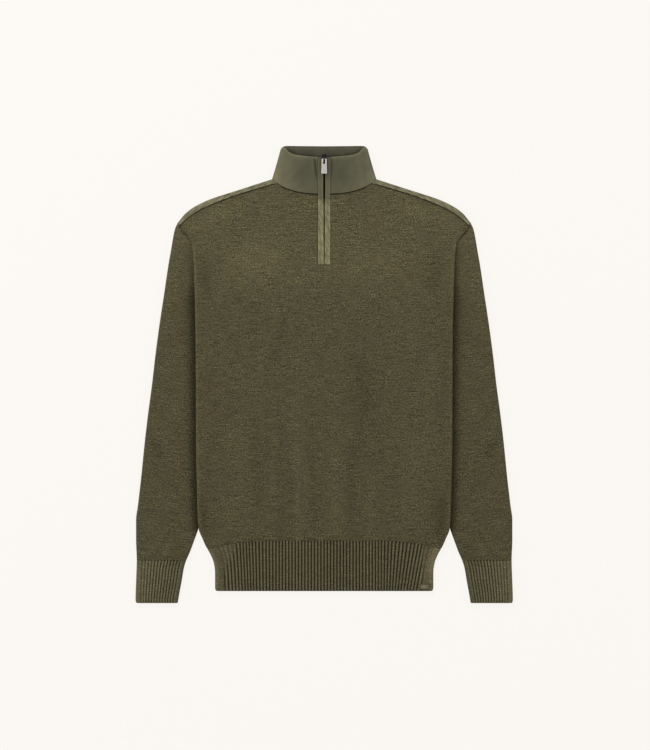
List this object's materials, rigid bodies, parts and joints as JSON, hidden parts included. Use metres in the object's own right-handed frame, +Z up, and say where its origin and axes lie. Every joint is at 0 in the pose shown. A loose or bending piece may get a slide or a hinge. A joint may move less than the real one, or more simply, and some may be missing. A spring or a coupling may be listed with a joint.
{
  "type": "quarter zip sweater",
  "caption": "Knitted quarter zip sweater with woven stand collar, shoulder strips and ribbed hem and cuffs, laid flat face up.",
  "frame": {"origin": "middle of the outline of the garment, on the surface that it lies on", "axes": "+Z up out of the garment's front, +Y towards the collar, +X towards the wearer's left sleeve, which is at the right as seen from above"},
  "size_m": [0.6402, 0.776, 0.0298],
  "materials": {
    "knit": "fine olive melange knit, matt with a little nap",
    "rib": "olive rib knit, matt",
    "woven": "smooth woven olive cloth with a soft sheen",
    "welt": "pale olive twill",
    "zip_tape": "black zip tape and coil",
    "gunmetal": "dark satin metal",
    "metal": "satin silver metal",
    "label": "plain woven tape"
  },
  "bodies": {
    "garment": {"front": "knit", "back": "knit", "sleeve_left": "knit", "sleeve_right": "knit", "cuff_left": "rib", "cuff_right": "rib", "hem": "rib", "shoulder_strip_left": "woven", "shoulder_strip_right": "woven", "collar": "woven", "collar_welt_left": "woven", "collar_welt_right": "woven", "placket_left": "welt", "placket_right": "welt", "zip": "zip_tape", "slider": "gunmetal", "hem_label": "label"},
    "pull": {"pull_tab": "metal"}
  },
  "joints": [
    {"name": "pull_swing", "type": "hinge", "parent": "garment", "child": "pull", "pos_m": [0, 0.3646, 0.02724], "axis": [-1, 0, 0], "range_deg": [0, 170]}
  ]
}
